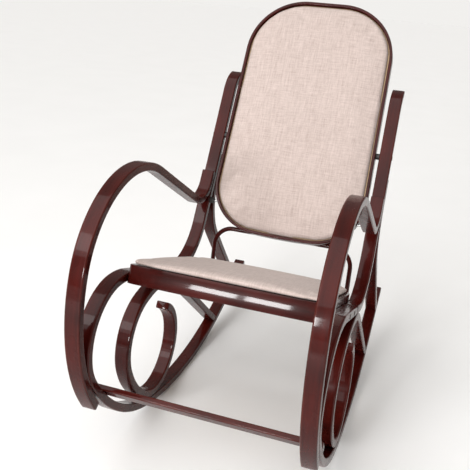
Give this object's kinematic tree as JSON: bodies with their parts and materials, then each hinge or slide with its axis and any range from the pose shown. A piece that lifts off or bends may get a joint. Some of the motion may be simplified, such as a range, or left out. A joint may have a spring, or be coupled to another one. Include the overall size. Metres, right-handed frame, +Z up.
{
  "type": "rocking chair",
  "caption": "Bentwood rocking chair: scrolled side frames of bent strips, looped arms, sloping upholstered seat and a tall rounded upholstered back panel.",
  "frame": {"origin": "centre of the bounding box at floor level, where the rockers stand", "axes": "+X across the chair towards the sitter's left hand, +Y to the rear (the sitter faces -Y), +Z up"},
  "size_m": [0.5, 1.0624, 1.0085],
  "materials": {
    "mahogany_lacquer": "gloss",
    "dark_cap": "gloss",
    "bare_wood": "matte",
    "plywood": "matte",
    "linen": "matte",
    "lining": "matte",
    "black_spacer": "matte",
    "zinc_steel": "satin",
    "brass_insert": "satin"
  },
  "bodies": {
    "root": {"left_arm_strip": "mahogany_lacquer", "left_upright_strip": "mahogany_lacquer", "left_rocker_strip": "mahogany_lacquer", "left_scroll_strip": "mahogany_lacquer", "left_rear_leg_strip": "mahogany_lacquer", "right_arm_strip": "mahogany_lacquer", "right_upright_strip": "mahogany_lacquer", "right_rocker_strip": "mahogany_lacquer", "right_scroll_strip": "mahogany_lacquer", "right_rear_leg_strip": "mahogany_lacquer", "front_stretcher": "mahogany_lacquer", "seat_brace": "mahogany_lacquer", "seat_ring": "mahogany_lacquer", "back_rim": "mahogany_lacquer", "bolt_caps": "dark_cap", "frame_dowels": "bare_wood", "seat_board": "plywood", "back_board": "plywood", "seat_pad": "linen", "back_pad": "linen", "back_lining": "lining", "back_spacers": "black_spacer", "arm_end_screws": "zinc_steel", "arm_foot_screws": "zinc_steel", "rear_leg_screws": "zinc_steel", "scroll_screws": "zinc_steel", "foot_screws": "zinc_steel", "stretcher_screws": "zinc_steel", "seat_board_screws": "zinc_steel", "back_board_screws": "zinc_steel", "brace_screws": "zinc_steel", "seat_bolts": "zinc_steel", "back_bolts": "zinc_steel", "seat_inserts": "brass_insert", "back_inserts": "brass_insert"}
  },
  "joints": []
}
